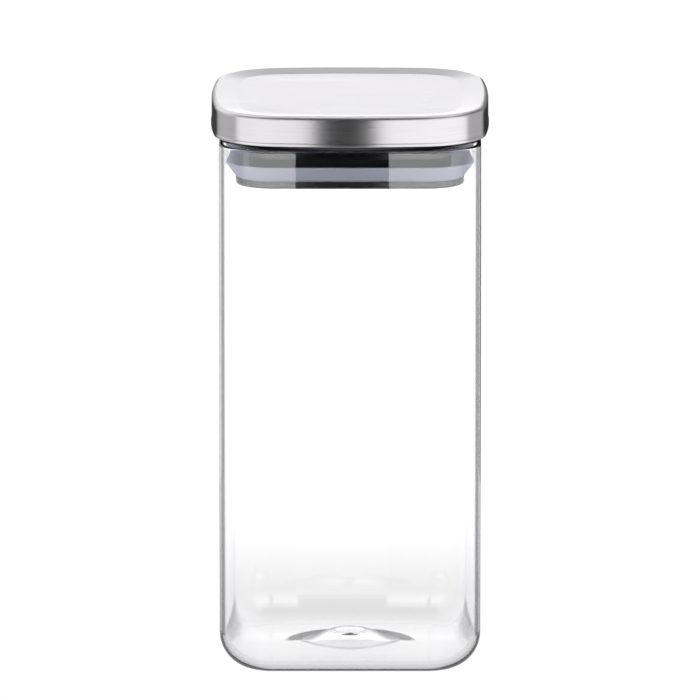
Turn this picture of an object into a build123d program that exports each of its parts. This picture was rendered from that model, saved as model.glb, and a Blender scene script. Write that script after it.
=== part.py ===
"""Square glass storage canister with a push-in stainless-steel lid.

Millimetres, +Z up. The origin is the centre of the jar's base, on the surface it stands on.
The front is -Y. The lid's parts are drawn where they sit when the lid is closed.
"""

import os
from math import atan2, cos, degrees, radians, sqrt, tan

from build123d import *

os.makedirs("parts", exist_ok=True)

# ---------------------------------------------------------------- glass jar
jar_half_width = 50.0
jar_corner_radius = 20.5
jar_height = 205.0
glass_wall = 2.0
base_thickness = 3.0
base_edge_radius = 14.0      # outside, where the wall turns into the base
rim_roundness = 0.9          # fire-polished edge, nearly half of the wall
push_up_radius = 18.0        # foot of the raised bump in the middle of the base
push_up_top_radius = 4.0     # its flat top
push_up_height = 5.0
foot_recess_radius = 27.0    # the base is hollowed slightly inside this radius
foot_recess = 0.6

# ------------------------------------------------- lid outline, seen from above
lid_half_width = 53.0
lid_side_radius = 300.0      # the sides bow out slightly
lid_corner_radius = 25.5

# ---------------------------------------------------------------- lid cover
cover_bottom = jar_height + 2.4
lid_top = jar_height + 14.0  # crest of the raised border, the highest point
sheet = 0.6
cover_edge_radius = 2.0
dish_half_width = 42.8       # the flat middle of the top
border_angle = 6.8           # degrees that the border rises at, around the flat middle
hem_height = 1.2
hem_bead = 0.25              # how far the hemmed edge stands out

# ----------------------------------------------------------------- lid core
seat_gap = 0.15              # between the glass rim and the flange over it
core_fit = 0.1               # between the core and the steel around it
flange_top = jar_height + 4.8
flange_foot_inset = 2.0      # the flange's visible edge tapers in by this much
skirt_top = jar_height + 11.6
core_wall = 2.0
neck_half_width = 38.5
collar_step = 1.0            # the neck is this much wider just under the flange
collar_bottom = jar_height - 3.6
shoulder = jar_height - 9.2  # the neck narrows here to hold the seal ring
spigot_half_width = 36.2
rib_spacing = 24.0
rib_thickness = 1.4

# ---------------------------------------------------------------- seal ring
seal_top = jar_height - 6.5
seal_root_half_width = 43.3
seal_gap = 0.15              # between the lip's tip and the glass
seal_fit = 0.05              # between the ring's root and the groove that holds it
lip_tip = 0.8                # thickness of the lip at its tip
lip_root = 2.2               # thickness of the lip where it leaves the root

# ------------------------------------------------------------- bottom plate
plate_top = jar_height - 12.7
plate_bottom = jar_height - 15.5
plate_half_width = 43.6
plate_edge_radius = 1.0
plate_skin = 1.4
snap_ring_top = jar_height - 9.7
snap_ring_wall = 1.4


def jar_outline(half_width):
    """Rounded square that runs parallel to the jar's outside."""
    corner_radius = jar_corner_radius - (jar_half_width - half_width)
    with BuildSketch() as outline:
        RectangleRounded(2 * half_width, 2 * half_width, corner_radius)
    return outline.sketch


def lid_outline(half_width):
    """Bowed square that runs parallel to the lid's outside: four shallow side arcs and
    four tangent corner arcs, on centres that all such outlines share."""
    inset = lid_half_width - half_width
    side_offset = lid_side_radius - lid_half_width
    reach = lid_side_radius - lid_corner_radius
    corner_offset = (sqrt(2 * reach**2 - side_offset**2) - side_offset) / 2
    join_angle = degrees(atan2(corner_offset, corner_offset + side_offset))
    corner_angle = 90 - 2 * join_angle
    with BuildSketch() as outline:
        with BuildLine():
            for turn in (0, 90, 180, 270):
                side_centre = Vector(-side_offset, 0).rotate(Axis.Z, turn)
                corner_centre = Vector(corner_offset, corner_offset).rotate(Axis.Z, turn)
                CenterArc(side_centre, lid_side_radius - inset, turn - join_angle, 2 * join_angle)
                CenterArc(corner_centre, lid_corner_radius - inset, turn + join_angle, corner_angle)
        make_face()
    return outline.sketch


def push_up(foot_radius, foot_height, top_radius, top_height):
    """Round bump under or over the base: a flat top that runs down to its foot in an S."""
    with BuildPart() as bump:
        with BuildSketch(Plane.XZ):
            with BuildLine():
                slope = Spline((top_radius, top_height), (foot_radius, foot_height),
                               tangents=((1, 0), (1, 0)))
                Polyline(slope @ 0, (0, top_height), (0, foot_height - 1),
                         (foot_radius, foot_height - 1), slope @ 1)
            make_face()
        revolve()
    return bump.part


# Glass jar: blown in a square mould. A hollow square column whose wall turns into a thick
# base over a large radius. The middle of the base is pushed up, and the rim is fire-polished.
with BuildPart() as cavity:
    with BuildSketch(Plane.XY.offset(base_thickness)):
        add(jar_outline(jar_half_width - glass_wall))
    extrude(amount=jar_height)
    fillet(cavity.edges().group_by(Axis.Z)[0], base_edge_radius - glass_wall)
    add(push_up(push_up_radius + base_thickness / 2, base_thickness,
                push_up_top_radius + base_thickness / 2, base_thickness + push_up_height),
        mode=Mode.SUBTRACT)

with BuildPart() as glass_jar:
    with BuildSketch():
        add(jar_outline(jar_half_width))
    extrude(amount=jar_height)
    fillet(glass_jar.edges().group_by(Axis.Z)[0], base_edge_radius)
    add(cavity.part, mode=Mode.SUBTRACT)
    add(push_up(foot_recess_radius, 0, push_up_radius, foot_recess), mode=Mode.SUBTRACT)
    add(push_up(push_up_radius, foot_recess, push_up_top_radius, push_up_height),
        mode=Mode.SUBTRACT)
    fillet(glass_jar.edges().group_by(Axis.Z)[-1], rim_roundness)
glass_jar.part.label = "glass_jar"


# Lid cover: a cap pressed from brushed stainless sheet. Its top is flat in the middle, with a
# border that rises to the rounded top edge, and the wall ends in a hem.
border_run = lid_half_width - cover_edge_radius - dish_half_width
border_rise = (border_run * tan(radians(border_angle))
               + cover_edge_radius * (1 - 1 / cos(radians(border_angle))))
dish_floor = lid_top - border_rise
border_overrun = 4.0         # the border's slope is cut from this far outside the wall


def cap_block(inset, foot):
    """Solid block inside the cover's surface, moved inwards by inset, standing on foot."""
    floor = dish_floor - inset
    outer_half_width = lid_half_width + border_overrun
    brim = floor + (outer_half_width - dish_half_width) * tan(radians(border_angle))
    with BuildPart() as block:
        with BuildSketch(Plane.XY.offset(foot)):
            add(lid_outline(lid_half_width - inset))
        extrude(amount=brim - foot)
        with BuildSketch(Plane.XY.offset(floor)):
            add(lid_outline(dish_half_width))
        with BuildSketch(Plane.XY.offset(brim)):
            add(lid_outline(outer_half_width))
        loft(mode=Mode.SUBTRACT)
        fillet(block.edges().group_by(Axis.Z)[-1], cover_edge_radius - inset)
    return block.part


with BuildPart() as lid_cover:
    add(cap_block(0, cover_bottom))
    add(cap_block(sheet, cover_bottom), mode=Mode.SUBTRACT)
    with BuildSketch(Plane.XY.offset(cover_bottom)):
        add(lid_outline(lid_half_width + hem_bead))
        add(lid_outline(lid_half_width - 2 * sheet), mode=Mode.SUBTRACT)
    extrude(amount=hem_height)
lid_cover.part.label = "lid_cover"


# Lid core: dark moulded plastic, snapped into the cover. The flange rests on the glass rim,
# and its tapered edge shows under the steel. The skirt fills the cover's wall, the ribs
# carry its top, and the hollow neck reaches into the jar and holds the seal ring.
flange_bottom = jar_height + seat_gap
core_half_width = lid_half_width - sheet - core_fit
hem_half_width = lid_half_width - 2 * sheet - core_fit
hem_top = cover_bottom + hem_height + core_fit
hollow_half_width = spigot_half_width - core_wall

with BuildPart() as lid_core:
    with BuildSketch(Plane.XY.offset(flange_bottom)):
        add(lid_outline(hem_half_width - flange_foot_inset))
    with BuildSketch(Plane.XY.offset(cover_bottom)):
        add(lid_outline(hem_half_width))
    loft()
    with BuildSketch(Plane.XY.offset(cover_bottom)):
        add(lid_outline(hem_half_width))
    extrude(amount=flange_top - cover_bottom)
    with BuildSketch(Plane.XY.offset(hem_top)):
        add(lid_outline(core_half_width))
    extrude(amount=flange_top - hem_top)
    with BuildSketch(Plane.XY.offset(flange_top)):
        add(lid_outline(core_half_width))
        add(lid_outline(core_half_width - core_wall), mode=Mode.SUBTRACT)
    extrude(amount=skirt_top - flange_top)
    with BuildSketch(Plane.XY.offset(collar_bottom)):
        add(jar_outline(neck_half_width + collar_step))
    extrude(amount=flange_bottom - collar_bottom)
    with BuildSketch(Plane.XY.offset(shoulder)):
        add(jar_outline(neck_half_width))
    extrude(amount=collar_bottom - shoulder)
    with BuildSketch(Plane.XY.offset(plate_top)):
        add(jar_outline(spigot_half_width))
    extrude(amount=shoulder - plate_top)
    with BuildSketch(Plane.XY.offset(plate_top)):
        add(jar_outline(hollow_half_width))
    extrude(amount=flange_top - plate_top, mode=Mode.SUBTRACT)
    with BuildSketch(Plane.XY.offset(shoulder)):
        with GridLocations(rib_spacing, 0, 2, 1):
            Rectangle(rib_thickness, 2 * neck_half_width)
        with GridLocations(0, rib_spacing, 1, 2):
            Rectangle(2 * neck_half_width, rib_thickness)
        add(jar_outline(hollow_half_width + core_wall / 2), mode=Mode.INTERSECT)
    extrude(amount=flange_top - shoulder)
    with BuildSketch(Plane.XY.offset(flange_top)):
        with GridLocations(rib_spacing, 0, 2, 1):
            Rectangle(rib_thickness, 2 * core_half_width)
        with GridLocations(0, rib_spacing, 1, 2):
            Rectangle(2 * core_half_width, rib_thickness)
        add(lid_outline(core_half_width - core_wall / 2), mode=Mode.INTERSECT)
    extrude(amount=skirt_top - flange_top)
lid_core.part.label = "lid_core"


# Seal ring: translucent silicone. Its root sits in the groove between the core's shoulder
# and the bottom plate, and its lip flares up and out to the glass.
tip_half_width = jar_half_width - glass_wall - seal_gap
root_inner = spigot_half_width + seal_fit
root_bottom = plate_top + seal_fit
root_top = shoulder - seal_fit
seal_path = jar_outline(seal_root_half_width).wire().moved(Location((0, 0, root_bottom)))

with BuildPart() as seal_ring:
    with BuildSketch(Plane.XZ):
        with BuildLine():
            lip = Line((seal_root_half_width, root_bottom), (tip_half_width, seal_top))
            Polyline(lip @ 1, (tip_half_width - lip_tip, seal_top),
                     (seal_root_half_width - lip_root, root_top), (root_inner, root_top),
                     (root_inner, root_bottom), lip @ 0)
        make_face()
    sweep(path=seal_path)
seal_ring.part.label = "seal_ring"


# Bottom plate: closes the hollow neck and clamps the seal ring. Its snap ring plugs into
# the core's spigot.
snap_ring_half_width = hollow_half_width - core_fit

with BuildPart() as bottom_plate:
    with BuildSketch(Plane.XY.offset(plate_bottom)):
        add(jar_outline(plate_half_width))
    extrude(amount=plate_top - plate_bottom)
    fillet(bottom_plate.edges().group_by(Axis.Z)[0], plate_edge_radius)
    with BuildSketch(Plane.XY.offset(plate_top)):
        add(jar_outline(snap_ring_half_width))
    extrude(amount=snap_ring_top - plate_top)
    with BuildSketch(Plane.XY.offset(plate_bottom + plate_skin)):
        add(jar_outline(snap_ring_half_width - snap_ring_wall))
    extrude(amount=snap_ring_top - plate_bottom - plate_skin, mode=Mode.SUBTRACT)
bottom_plate.part.label = "bottom_plate"


for piece in (glass_jar, lid_cover, lid_core, seal_ring, bottom_plate):
    export_step(piece.part, f"parts/{piece.part.label}.step")
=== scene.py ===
from math import atan2, cos, pi, radians, sin, sqrt, tan

import bmesh
import bpy
from mathutils import Matrix, Vector


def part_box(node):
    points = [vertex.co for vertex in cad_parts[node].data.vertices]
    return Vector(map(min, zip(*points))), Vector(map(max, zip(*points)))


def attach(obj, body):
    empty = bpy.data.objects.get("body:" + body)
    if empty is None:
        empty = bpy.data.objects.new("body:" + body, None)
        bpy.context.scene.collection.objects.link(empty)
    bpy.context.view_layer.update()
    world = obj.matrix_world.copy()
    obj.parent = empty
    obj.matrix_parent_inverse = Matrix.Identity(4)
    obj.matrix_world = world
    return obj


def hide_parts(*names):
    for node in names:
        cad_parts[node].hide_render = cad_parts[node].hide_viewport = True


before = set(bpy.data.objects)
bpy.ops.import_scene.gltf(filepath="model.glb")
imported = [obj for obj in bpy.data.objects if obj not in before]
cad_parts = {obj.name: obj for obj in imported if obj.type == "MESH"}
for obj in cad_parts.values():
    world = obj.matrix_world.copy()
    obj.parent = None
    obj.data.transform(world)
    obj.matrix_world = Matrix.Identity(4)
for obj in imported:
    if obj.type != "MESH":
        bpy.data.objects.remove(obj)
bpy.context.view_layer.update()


# ------------------------------------------------------------------ Camera
# A long lens a little above the lid, looking down at the jar from the front, so
# that the jar's upright edges stay almost parallel.
camera_distance = 5.0
camera_height = 1.1574
camera_tilt = 0.20497

camera_data = bpy.data.cameras.new("camera")
camera_data.lens = 683.2
camera_data.sensor_width = 36.0
camera = bpy.data.objects.new("camera", camera_data)
camera.location = (0, -camera_distance, camera_height)
camera.rotation_euler = (pi / 2 - camera_tilt, 0, 0)
bpy.context.scene.collection.objects.link(camera)
bpy.context.scene.camera = camera


# --------------------------------------------------------------- Glass jar
# Borosilicate glass blown in a square mould, with 2 mm walls, a thick base turned
# in over a large radius, its middle pushed up, and a fire-polished rim.
MM = 0.001
jar_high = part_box("glass_jar")[1]
jar_half_width = jar_high.x
jar_corner_radius = 20.5 * MM
rim_height = jar_high.z
rim_radius = 0.9 * MM
glass_wall = 2 * MM
base_thickness = 3 * MM
base_edge_radius = 14 * MM
flat_half_width = jar_half_width - base_edge_radius - 2 * MM
push_up = 5 * MM


def rounded_square(bm, half_width, height, corner_steps=16):
    """A loop of vertices parallel to the jar's wall, anticlockwise from above."""
    corner_radius = jar_corner_radius - (jar_half_width - half_width)
    made = bmesh.ops.create_grid(bm, x_segments=1, y_segments=1, size=half_width,
                                 matrix=Matrix.Translation((0, 0, height)))
    sheet = made["verts"][0].link_faces[0]
    if corner_radius > 0:
        bmesh.ops.bevel(bm, geom=made["verts"], offset=corner_radius, offset_type="OFFSET",
                        affect="VERTICES", segments=corner_steps, profile=0.5, material=-1)
        sheet = next(face for face in bm.faces if len(face.verts) == 4 * (corner_steps + 1))
    loop = list(sheet.verts)
    if sheet.normal.z < 0:
        loop.reverse()
    bmesh.ops.delete(bm, geom=[sheet], context="FACES_ONLY")
    return loop


def loop_edges(bm, loop):
    return [bm.edges.get(pair) for pair in zip(loop, loop[1:] + loop[:1])]


def extrude_loop(bm, loop, inwards, upwards):
    """Extrudes a loop once. The new loop runs parallel to it, moved inwards and upwards."""
    made = bmesh.ops.extrude_edge_only(bm, edges=loop_edges(bm, loop))["geom"]
    fresh = {v for v in made if isinstance(v, bmesh.types.BMVert)}
    moved = [next(e.other_vert(v) for e in v.link_edges if e.other_vert(v) in fresh) for v in loop]
    for before, here, after, new in zip(loop[-1:] + loop[:-1], loop, loop[1:] + loop[:1], moved):
        arriving = (here.co - before.co).xy.normalized()
        leaving = (after.co - here.co).xy.normalized()
        along = (arriving + leaving).normalized()
        mitre = inwards / along.dot(leaving)
        new.co = here.co + Vector((-along.y * mitre, along.x * mitre, upwards))
    return moved


def rounded_section(corners, steps=6):
    """Section points from corners given as (half width, height, radius)."""
    points = []
    for index, (width, height, radius) in enumerate(corners):
        here = Vector((width, height))
        if radius == 0 or index in (0, len(corners) - 1):
            points.append(here)
            continue
        to_last = (Vector(corners[index - 1][:2]) - here).normalized()
        to_next = (Vector(corners[index + 1][:2]) - here).normalized()
        half_angle = to_last.angle(to_next) / 2
        centre = here + (to_last + to_next).normalized() * (radius / sin(half_angle))
        start = here + to_last * (radius / tan(half_angle)) - centre
        end = here + to_next * (radius / tan(half_angle)) - centre
        turn = start.angle_signed(end)
        for step in range(steps + 1):
            points.append(centre + Matrix.Rotation(-turn * step / steps, 2) @ start)
    return points


def sweep_section(bm, loop, section):
    """Carries a loop through every point of a section and returns the last loop."""
    for here, there in zip(section, section[1:]):
        loop = extrude_loop(bm, loop, here.x - there.x, there.y - here.y)
    return loop


def finish_piece(bm, name, body, node, materials):
    """Turns a bmesh into a smooth piece that rides on its body and stands for a CAD node."""
    bmesh.ops.remove_doubles(bm, verts=bm.verts[:], dist=1e-6)
    bmesh.ops.recalc_face_normals(bm, faces=bm.faces[:])
    mesh = bpy.data.meshes.new(name)
    bm.to_mesh(mesh)
    bm.free()
    mesh.polygons.foreach_set("use_smooth", [True] * len(mesh.polygons))
    piece = bpy.data.objects.new(name, mesh)
    bpy.context.scene.collection.objects.link(piece)
    for material in materials:
        mesh.materials.append(material)
    weighted = piece.modifiers.new("even shading", "WEIGHTED_NORMAL")
    weighted.mode = "FACE_AREA"
    weighted.weight = 100
    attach(piece, body)
    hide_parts(node)


def linear(hex_colour):
    """Linear colour from an sRGB hex value such as "#c8c8c8"."""
    parts = [int(hex_colour[i:i + 2], 16) / 255 for i in (1, 3, 5)]
    return tuple(p / 12.92 if p <= 0.04045 else ((p + 0.055) / 1.055) ** 2.4 for p in parts) + (1.0,)


def new_material(name):
    material = bpy.data.materials.new(name)
    material.use_nodes = True
    material.node_tree.nodes.clear()
    return material


def add_node(owner, kind, settings=None, **sockets):
    """Adds a node to a material or world. A socket is named, or numbered as in _0, and
    takes a value or another node's output."""
    tree = owner.node_tree
    made = tree.nodes.new(kind)
    for name, value in (settings or {}).items():
        setattr(made, name, value)
    for name, value in sockets.items():
        key = int(name[1:]) if name[0] == "_" and name[1:].isdigit() else name.replace("_", " ")
        if isinstance(value, bpy.types.NodeSocket):
            tree.links.new(value, made.inputs[key])
        else:
            made.inputs[key].default_value = value
    return made


def s_curve(start, end, steps=10):
    """Points from start to end that leave and arrive level, as (radius, height)."""
    points = []
    for step in range(steps + 1):
        share = step / steps
        rise = (1 - cos(pi * share)) / 2
        points.append((start[0] + (end[0] - start[0]) * share,
                       start[1] + (end[1] - start[1]) * rise))
    return points


def extrude_to_circles(bm, loop, profile):
    """Carries a loop inwards through circles given as (radius, height), and closes the
    last one. The first corner's vertices keep their middle direction."""
    corner_verts = len(loop) // 4
    corner_start = loop[0].co
    corner_end = loop[corner_verts - 1].co
    corner_middle = (atan2(corner_start.y, corner_start.x) + atan2(corner_end.y, corner_end.x)) / 2
    start = corner_middle - pi * (corner_verts - 1) / len(loop)
    for radius, height in profile:
        loop = extrude_loop(bm, loop, 0, 0)
        for index, vert in enumerate(loop):
            angle = start + 2 * pi * index / len(loop)
            vert.co = (radius * cos(angle), radius * sin(angle), height)
    bmesh.ops.contextual_create(bm, geom=loop_edges(bm, loop))


bm = bmesh.new()
section = rounded_section([
    (flat_half_width, 0, 0),
    (jar_half_width, 0, base_edge_radius),
    (jar_half_width, rim_height, rim_radius),
    (jar_half_width - glass_wall, rim_height, rim_radius),
    (jar_half_width - glass_wall, base_thickness, base_edge_radius - glass_wall),
    (flat_half_width, base_thickness, 0),
], steps=14)
under_loop = rounded_square(bm, flat_half_width, 0)
inner_loop = sweep_section(bm, under_loop, section)

# Under the base a slight rise runs from the flat foot to the edge of the push-up's dome.
foot_edge = (27 * MM, 0)
dome_edge = (18 * MM, 0.6 * MM)
dome_top = (4 * MM, push_up)
pole_radius = 1 * MM
under_profile = s_curve(foot_edge, dome_edge) + s_curve(dome_edge, dome_top, steps=16)[1:]
extrude_to_circles(bm, under_loop, under_profile + [(pole_radius, push_up)])
inner_dome_edge = (19.5 * MM, base_thickness)
inner_dome_top = (5.5 * MM, base_thickness + push_up)
inner_profile = s_curve(inner_dome_edge, inner_dome_top, steps=16)
extrude_to_circles(bm, inner_loop, inner_profile + [(pole_radius, base_thickness + push_up)])


# Clear borosilicate glass, IOR 1.47, blown and fire-polished: no roughness. Where the outside turns
# a corner, a grey line beside the edge is painted shade in the glass colour, set by the viewing
# angle.
def glass(name, painted_edge_shades):
    """Clear glass, with painted shade by how far it turns away: 0 is face on, 1 is edge on."""
    material = new_material(name)
    turned = add_node(material, "ShaderNodeLayerWeight", Blend=0.5)
    line = add_node(material, "ShaderNodeValToRGB", Fac=turned.outputs["Facing"])
    ramp = line.color_ramp
    for place, colour in painted_edge_shades:
        stop = ramp.elements[0] if place == 0 else ramp.elements.new(place)
        stop.color = linear(colour)
    ramp.elements.remove(ramp.elements[-1])
    bsdf = add_node(material, "ShaderNodeBsdfPrincipled", Base_Color=line.outputs["Color"],
                    Roughness=0.0, IOR=1.47, Transmission_Weight=1.0)
    rays = add_node(material, "ShaderNodeLightPath")
    shadow = add_node(material, "ShaderNodeBsdfTransparent", Color=(0.93, 0.93, 0.94, 1))
    either = add_node(material, "ShaderNodeMixShader", _0=rays.outputs["Is Shadow Ray"],
                      _1=bsdf.outputs["BSDF"], _2=shadow.outputs["BSDF"])
    add_node(material, "ShaderNodeOutputMaterial", Surface=either.outputs["Shader"])
    return material


clear_glass = glass("clear borosilicate glass", [(0, "#ffffff"), (0.99, "#fbfafd")])
# Painted shade: dark grey lines where the outside corners and the rim turn edge on.
glass_painted_edge_lines = glass("clear borosilicate glass, corners, painted edge lines",
                     [(0, "#ffffff"), (0.52, "#fdfcff"), (0.6, "#55535a"), (0.68, "#4d4a54"),
                      (0.78, "#b9b2c4"), (0.99, "#f0ebf5")])
# Painted shade: the foot turns grey and then near black as it turns edge on.
glass_painted_dark_foot = glass("clear borosilicate glass, foot, painted dark edge",
                   [(0, "#ffffff"), (0.6, "#f4f2f8"), (0.82, "#45444a"), (0.99, "#0c0c0e")])
jar_glasses = [clear_glass, glass_painted_edge_lines, glass_painted_dark_foot]
bmesh.ops.recalc_face_normals(bm, faces=bm.faces[:])
# The foot, the outside corners and the rim get the glasses with painted edge shade.
for face in bm.faces:
    middle = face.calc_center_median()
    outside = face.normal.dot(Vector((middle.x, middle.y, 0))) > 0
    corner = min(abs(middle.x), abs(middle.y)) > jar_half_width - jar_corner_radius
    on_rim = middle.z > rim_height - rim_radius
    if outside and middle.z < base_edge_radius:
        face.material_index = jar_glasses.index(glass_painted_dark_foot)
    elif outside and corner or on_rim:
        face.material_index = jar_glasses.index(glass_painted_edge_lines)
finish_piece(bm, "jar_glass", "jar", "glass_jar", jar_glasses)


# --------------------------------------------------------------- Seal ring
# Translucent silicone, moulded in one piece. Its root is held in the groove between
# the lid core and the bottom plate, and its lip flares up and out to the glass.
seal_low, seal_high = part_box("seal_ring")
root_inner = 36.25 * MM
root_half_width = 43.3 * MM
root_top = seal_low.z + 3.4 * MM
lip_start = root_half_width - 2.2 * MM
lip_tip_width = 0.9 * MM

bm = bmesh.new()
section = rounded_section([
    (root_inner, seal_low.z, 0),
    (root_half_width, seal_low.z, 0.5 * MM),
    (seal_high.x, seal_high.z, 0.4 * MM),
    (seal_high.x - lip_tip_width, seal_high.z, 0.3 * MM),
    (lip_start, root_top, 0.6 * MM),
    (root_inner, root_top, 0),
])
first_loop = rounded_square(bm, root_inner, seal_low.z)
last_loop = sweep_section(bm, first_loop, section)
bmesh.ops.bridge_loops(bm, edges=loop_edges(bm, first_loop) + loop_edges(bm, last_loop))

# Natural silicone rubber with a satin skin: milky, and slightly blue. Light soaks through
# the thin lip and leaves it glowing on the far side. Its faint clouds are 11 mm across.
clouds_per_metre = 90.0
silicone = new_material("translucent silicone")
place = add_node(silicone, "ShaderNodeTexCoord")
cloud = add_node(silicone, "ShaderNodeTexNoise", Vector=place.outputs["Object"],
                 Scale=clouds_per_metre, Detail=3.0)
milk = add_node(silicone, "ShaderNodeMix", {"data_type": "RGBA"}, _0=cloud.outputs["Fac"],
                _6=linear("#c9cfe0"), _7=linear("#d9deec"))
skin = add_node(silicone, "ShaderNodeMapRange", Value=cloud.outputs["Fac"], To_Min=0.32, To_Max=0.5)
rubber = add_node(silicone, "ShaderNodeBsdfPrincipled", Base_Color=milk.outputs[2],
                  Roughness=skin.outputs["Result"], IOR=1.41, Subsurface_Weight=0.5,
                  Subsurface_Radius=(1.2, 1.4, 1.8), Subsurface_Scale=1.5 * MM)
soaked = add_node(silicone, "ShaderNodeBsdfTranslucent", Color=linear("#f1f4ff"))
glowing = add_node(silicone, "ShaderNodeMixShader", _0=0.45, _1=rubber.outputs["BSDF"],
                   _2=soaked.outputs["BSDF"])
add_node(silicone, "ShaderNodeOutputMaterial", Surface=glowing.outputs["Shader"])
finish_piece(bm, "silicone_seal", "lid", "seal_ring", [silicone])


# ------------------------------------------------- Lid core and bottom plate
# Both are injection-moulded in dark grey plastic with a glossy tool finish. The core
# clips into the steel cover, and the plate closes its hollow neck from below.
def glossy_plastic(name, colour, roughness):
    """Dark ABS from a polished mould: sharp reflections, whose gloss wanders slightly
    in patches 5.5 mm across."""
    patches_per_metre = 180.0
    material = new_material(name)
    place = add_node(material, "ShaderNodeTexCoord")
    patches = add_node(material, "ShaderNodeTexNoise", Vector=place.outputs["Object"],
                       Scale=patches_per_metre, Detail=3.0)
    spread = add_node(material, "ShaderNodeMapRange", Value=patches.outputs["Fac"],
                      To_Min=roughness - 0.02, To_Max=roughness + 0.03)
    shader = add_node(material, "ShaderNodeBsdfPrincipled", Base_Color=linear(colour),
                      Roughness=spread.outputs["Result"], IOR=1.49)
    add_node(material, "ShaderNodeOutputMaterial", Surface=shader.outputs["BSDF"])
    return material


for node, colour, roughness in (("lid_core", "#121214", 0.1), ("bottom_plate", "#232226", 0.2)):
    plastic = glossy_plastic(f"moulded dark plastic, {node}", colour, roughness)
    for material_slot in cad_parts[node].material_slots:
        material_slot.material = plastic


# --------------------------------------------------------------- Lid cover
# A cap pressed from 0.6 mm stainless sheet. The flat middle of the top lies 1 mm below
# a sloping border, the top edge is rounded, and the wall ends in a small hem.
cover_low, cover_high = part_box("lid_cover")
lid_half_width = 53 * MM
side_radius = 300 * MM
corner_radius = 25.5 * MM
sheet_thickness = 0.6 * MM
hem_bead = 0.25 * MM
hem_low = cover_low.z
hem_high = cover_low.z + 1.2 * MM
dish_half_width = 42.8 * MM
dish_edge = dish_half_width - 3 * MM
dish_floor = cover_high.z - 0.9636 * MM
border_slope = tan(radians(6.8))
brim = dish_floor + (lid_half_width - dish_half_width) * border_slope
top_edge_radius = 2 * MM


def bowed_square(bm, half_width, height, side_steps=10, corner_steps=22):
    """A loop of vertices parallel to the lid's wall, whose sides bow outwards: one vertex
    is spun round the centre of each side's arc and of each corner's."""
    inset = lid_half_width - half_width
    side_offset = side_radius - lid_half_width
    reach = side_radius - corner_radius
    corner_offset = (sqrt(2 * reach**2 - side_offset**2) - side_offset) / 2
    join_angle = atan2(corner_offset, corner_offset + side_offset)
    arc = side_radius - inset
    last = bm.verts.new((arc * cos(join_angle) - side_offset, -arc * sin(join_angle), height))
    loop = [last]
    for quarter in range(4):
        turn = Matrix.Rotation(quarter * pi / 2, 3, "Z")
        side = ((-side_offset, 0, 0), 2 * join_angle, side_steps)
        corner = ((corner_offset, corner_offset, 0), pi / 2 - 2 * join_angle, corner_steps)
        for centre, angle, steps in (side, corner):
            made = bmesh.ops.spin(bm, geom=[last], cent=turn @ Vector(centre), axis=(0, 0, 1),
                                  angle=angle, steps=steps)
            last = made["geom_last"][0]
            arc_verts = [last]
            while arc_verts[-1] != loop[-1]:
                here = arc_verts[-1]
                arc_verts.append(next(e.other_vert(here) for e in here.link_edges
                                      if len(arc_verts) < 2 or e.other_vert(here) != arc_verts[-2]))
            loop += reversed(arc_verts[:-1])
    bmesh.ops.weld_verts(bm, targetmap={loop.pop(): loop[0]})
    return loop


# The section starts under the dished middle, runs out and down inside the wall, round the
# hem, up the outside, over the top edge and down the border to the dish again.
bm = bmesh.new()
section = rounded_section([
    (dish_edge, dish_floor - sheet_thickness, 0),
    (dish_half_width, dish_floor - sheet_thickness, 4 * MM),
    (lid_half_width - sheet_thickness, brim - sheet_thickness, top_edge_radius - sheet_thickness),
    (lid_half_width - sheet_thickness, hem_high, 0.2 * MM),
    (lid_half_width - 2 * sheet_thickness, hem_high, 0.2 * MM),
    (lid_half_width - 2 * sheet_thickness, hem_low, 0.3 * MM),
    (lid_half_width + hem_bead, hem_low, 0.35 * MM),
    (lid_half_width + hem_bead, hem_low + 1.0 * MM, 0.3 * MM),
    (lid_half_width, hem_low + 1.45 * MM, 0.4 * MM),
    (lid_half_width, brim, top_edge_radius),
    (dish_half_width, dish_floor, 4 * MM),
    (dish_edge, dish_floor, 0),
], steps=8)
first_loop = bowed_square(bm, dish_edge, dish_floor - sheet_thickness)
last_loop = sweep_section(bm, first_loop, section)
bmesh.ops.contextual_create(bm, geom=loop_edges(bm, first_loop))
bmesh.ops.contextual_create(bm, geom=loop_edges(bm, last_loop))


def brushed_steel(name, hairs_per_metre, axis):
    """Brushed 304 stainless: hair-fine parallel scratches that spread reflections across
    the grain and keep them sharper along it. The tangent circles the given axis."""
    material = new_material(name)
    place = add_node(material, "ShaderNodeTexCoord")
    stretch = add_node(material, "ShaderNodeMapping", Vector=place.outputs["Object"],
                       Scale=hairs_per_metre)
    hairs = add_node(material, "ShaderNodeTexNoise", Vector=stretch.outputs["Vector"],
                     Scale=1.0, Detail=5.0, Roughness=0.65)
    tone = add_node(material, "ShaderNodeMapRange", Value=hairs.outputs["Fac"],
                    From_Min=0.3, From_Max=0.7, To_Min=0.88, To_Max=1.0)
    steel = add_node(material, "ShaderNodeMix", {"data_type": "RGBA", "blend_type": "MULTIPLY"},
                     _0=1.0, _6=linear("#d3d1d4"), _7=tone.outputs["Result"])
    rough = add_node(material, "ShaderNodeMapRange", Value=hairs.outputs["Fac"],
                     From_Min=0.3, From_Max=0.7, To_Min=0.27, To_Max=0.33)
    relief = add_node(material, "ShaderNodeBump", Height=hairs.outputs["Fac"],
                      Strength=0.06, Distance=0.2 * MM)
    grain = add_node(material, "ShaderNodeTangent", {"direction_type": "RADIAL", "axis": axis})
    shader = add_node(material, "ShaderNodeBsdfPrincipled", Base_Color=steel.outputs[2],
                      Metallic=1.0, Roughness=rough.outputs["Result"], Anisotropic=0.85,
                      Anisotropic_Rotation=0.25, Normal=relief.outputs["Normal"],
                      Tangent=grain.outputs["Tangent"])
    add_node(material, "ShaderNodeOutputMaterial", Surface=shader.outputs["BSDF"])
    return material


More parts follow.
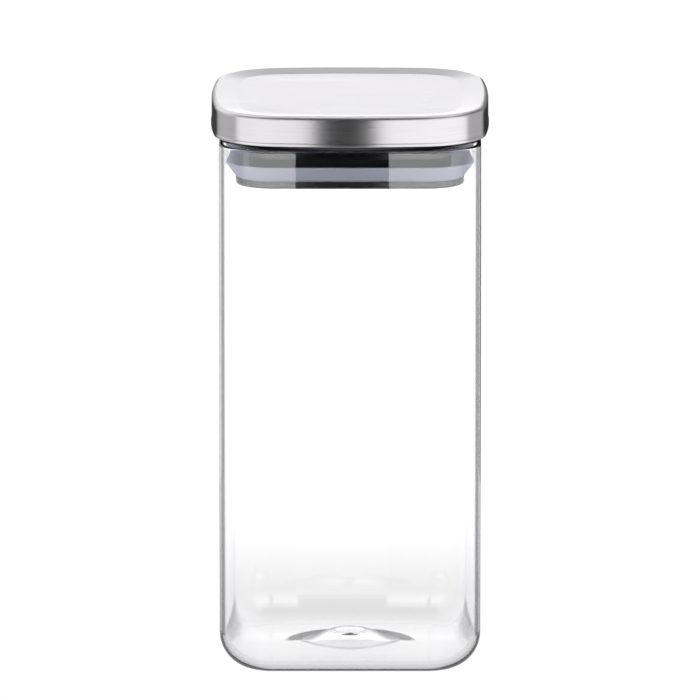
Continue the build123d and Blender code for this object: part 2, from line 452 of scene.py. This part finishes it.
# The real scratches are about 0.05 mm wide, too fine to show. They are drawn 0.5 mm wide
# and 17 mm long round the wall, and 1.7 mm wide and 40 mm long from side to side on the top.
wall_steel = brushed_steel("brushed stainless, wall", (60, 60, 2000), "Z")
top_steel = brushed_steel("brushed stainless, top", (25, 600, 25), "Y")
cover_steels = [wall_steel, top_steel]
lowest_top_face = cover_high.z - 1.3 * MM
for face in bm.faces:
    on_top = max(v.co.z for v in face.verts) > dish_floor
    if on_top and face.calc_center_median().z > lowest_top_face:
        face.material_index = cover_steels.index(top_steel)
finish_piece(bm, "steel_cover", "lid", "lid_cover", cover_steels)


# ------------------------------------------------------------------- Studio
# A white table in a white room. Softboxes stand on both sides of the camera, with a
# narrow dark gap between them, and black cards stand behind the jar to draw its edges.
def stage_sheet(name, corners, material):
    """A flat sheet that stays out of the exported model."""
    bm = bmesh.new()
    bmesh.ops.contextual_create(bm, geom=[bm.verts.new(corner) for corner in corners])
    mesh = bpy.data.meshes.new(name)
    bm.to_mesh(mesh)
    bm.free()
    mesh.materials.append(material)
    sheet = bpy.data.objects.new(name, mesh)
    bpy.context.scene.collection.objects.link(sheet)
    return sheet


# The table: as bright as the room to the eye and dimmer in reflections, where the real
# one falls off into a darker room. The glass shows it softly shaded round the jar's foot.
table_to_eye = 1.03
table_reflected = 0.58
table_under_jar = 0.8
seen_white = 1.22
table = new_material("white table")
rays = add_node(table, "ShaderNodeLightPath")
spot = add_node(table, "ShaderNodeTexCoord")
distance = add_node(table, "ShaderNodeVectorMath", {"operation": "LENGTH"},
                    _0=spot.outputs["Object"])
shade = add_node(table, "ShaderNodeMapRange", {"interpolation_type": "SMOOTHSTEP"},
                 Value=distance.outputs["Value"], From_Min=0.03, From_Max=0.33,
                 To_Min=table_under_jar, To_Max=seen_white)
reflected = add_node(table, "ShaderNodeMix", {"data_type": "FLOAT"},
                     _0=rays.outputs["Is Reflection Ray"], _2=shade.outputs["Result"],
                     _3=table_reflected)
brightness = add_node(table, "ShaderNodeMix", {"data_type": "FLOAT"},
                      _0=rays.outputs["Is Camera Ray"], _2=reflected.outputs[0], _3=table_to_eye)
light = add_node(table, "ShaderNodeEmission", Color=(1, 1, 1, 1), Strength=brightness.outputs[0])
add_node(table, "ShaderNodeOutputMaterial", Surface=light.outputs["Emission"])
table.cycles.emission_sampling = "NONE"
table_reach = 12.0
table_height = -0.3 * MM
stage_sheet("floor", [(-table_reach, -table_reach, table_height),
                      (table_reach, -table_reach, table_height),
                      (table_reach, table_reach, table_height),
                      (-table_reach, table_reach, table_height)], table)


# Softboxes of white cloth. Steel and plastic see each as one even light. Mirror-smooth
# glass sees it bright in the middle, and fading to white at the far ends and to the
# table's own shade at the foot, so that no hard edge shows in the jar.
def softbox(name, corners, even_strength, glare):
    cloth = new_material(f"{name} cloth")
    rays = add_node(cloth, "ShaderNodeLightPath")
    spot = add_node(cloth, "ShaderNodeTexCoord")
    axes = add_node(cloth, "ShaderNodeSeparateXYZ", Vector=spot.outputs["Object"])
    sideways = add_node(cloth, "ShaderNodeMath", {"operation": "ABSOLUTE"},
                        _0=axes.outputs["X"])
    foot_behind_glass = add_node(cloth, "ShaderNodeMapRange", Value=sideways.outputs["Value"],
                                 From_Min=0.0, From_Max=0.3, To_Min=0.91, To_Max=seen_white)
    foot = add_node(cloth, "ShaderNodeMapRange", Value=rays.outputs["Is Transmission Ray"],
                    To_Min=0.4, To_Max=foot_behind_glass.outputs["Result"])
    top = add_node(cloth, "ShaderNodeMapRange", Value=sideways.outputs["Value"],
                   From_Min=0.15, From_Max=0.3, To_Min=glare, To_Max=seen_white)
    mirrored = add_node(cloth, "ShaderNodeMapRange", {"interpolation_type": "SMOOTHSTEP"},
                        Value=axes.outputs["Z"], From_Min=0.02, From_Max=0.175,
                        To_Min=foot.outputs["Result"], To_Max=top.outputs["Result"])
    strength = add_node(cloth, "ShaderNodeMix", {"data_type": "FLOAT"},
                        _0=rays.outputs["Is Singular Ray"], _2=even_strength,
                        _3=mirrored.outputs["Result"])
    light = add_node(cloth, "ShaderNodeEmission", Color=(1, 1, 1, 1),
                     Strength=strength.outputs[0])
    add_node(cloth, "ShaderNodeOutputMaterial", Surface=light.outputs["Emission"])
    box = stage_sheet(name, corners, cloth)
    box.visible_camera = False
    return box


def upright(start, end, low, start_top, end_top):
    """Corners of a sheet that stands from one floor point to another."""
    return [(*start, low), (*end, low), (*end, end_top), (*start, start_top)]


gap_left = -21 * MM
gap_right = 15 * MM
front = -0.13
left_turn = (-0.5, -0.1)
right_turn = (0.5, -0.03)
softbox("left softbox", upright((gap_left, front), left_turn, 0, 0.27, 0.5), 1.38, 2.9)
softbox("right softbox", upright((gap_right, front), right_turn, 0, 0.27, 0.5), 1.5, 2.9)
softbox("left side light", upright(left_turn, (-0.42, 0.22), 0, 0.5, 0.4), 0.65, 2.4)
softbox("right side light", upright(right_turn, (0.42, 0.22), 0, 0.5, 0.4), 0.6, 2.4)

# Lights for the top of the lid, one for each side it is seen from. They are far off, and
# do not show through the glass.
high = 1.0
for name, corners, even_strength in (
        ("back softbox", upright((-0.5, 0.9), (0.5, 0.9), 0.2, 0.5, 0.5), 3.6),
        ("high softbox", [(-0.6, -0.05, high), (0.6, -0.05, high),
                          (0.6, 0.75, high), (-0.6, 0.75, high)], 1.5),
        ("corner softbox", upright((-0.95, 0.25), (-0.25, 0.95), 0.45, 1.1, 1.1), 1.5),
        ("front corner softbox", upright((0.25, -0.95), (0.95, -0.25), 0.3, 0.8, 0.8), 1.2)):
    lid_light = softbox(name, corners, even_strength, 1.0)
    lid_light.visible_transmission = False


# Black cards. One closes the gap between the front softboxes, and the two behind the jar
# give its upright edges their grey lines. The left one looks white to the glass.
def card_paper(name, to_glass, black=0.02):
    paper = new_material(name)
    rays = add_node(paper, "ShaderNodeLightPath")
    strength = add_node(paper, "ShaderNodeMapRange", Value=rays.outputs["Is Singular Ray"],
                        To_Min=black, To_Max=to_glass)
    light = add_node(paper, "ShaderNodeEmission", Color=(1, 1, 1, 1),
                     Strength=strength.outputs["Result"])
    add_node(paper, "ShaderNodeOutputMaterial", Surface=light.outputs["Emission"])
    return paper


black_card = card_paper("black card", 0.02)
edge_card = card_paper("black card, white to the glass", 0.9)
card_line = front - 1 * MM
for name, corners, paper, behind_glass in (
        ("gap card", upright((gap_left, card_line), (gap_right, card_line), 0.1, 0.5, 0.5),
         black_card, True),
        ("left edge card", upright((-0.28, 0.27), (-0.075, 0.3), 0, 0.3, 0.3), edge_card, False),
        ("right edge card", upright((0.075, 0.3), (0.26, 0.27), 0, 0.3, 0.3), black_card, False)):
    card = stage_sheet(name, corners, paper)
    card.visible_camera = False
    card.visible_diffuse = False
    card.visible_transmission = behind_glass

# The room: even white to the eye and through the glass. In reflections it is bright
# near the horizon and dark overhead.
room_to_eye = 1.2
world = bpy.data.worlds.new("studio")
bpy.context.scene.world = world
world.use_nodes = True
world.node_tree.nodes.clear()
rays = add_node(world, "ShaderNodeLightPath")
direction = add_node(world, "ShaderNodeTexCoord")
axes = add_node(world, "ShaderNodeSeparateXYZ", Vector=direction.outputs["Generated"])
overhead = add_node(world, "ShaderNodeMapRange", {"interpolation_type": "SMOOTHSTEP"},
                    Value=axes.outputs["Z"], From_Min=0.0, From_Max=0.45,
                    To_Min=0.75, To_Max=0.08)
seen = add_node(world, "ShaderNodeMath", {"operation": "MAXIMUM"},
                _0=rays.outputs["Is Camera Ray"], _1=rays.outputs["Is Transmission Ray"])
brightness = add_node(world, "ShaderNodeMix", {"data_type": "FLOAT"}, _0=seen.outputs["Value"],
                      _2=overhead.outputs["Result"], _3=room_to_eye)
room = add_node(world, "ShaderNodeBackground", Color=(1, 1, 1, 1), Strength=brightness.outputs[0])
add_node(world, "ShaderNodeOutputWorld", Surface=room.outputs["Background"])
bpy.context.scene.view_settings.view_transform = "Standard"
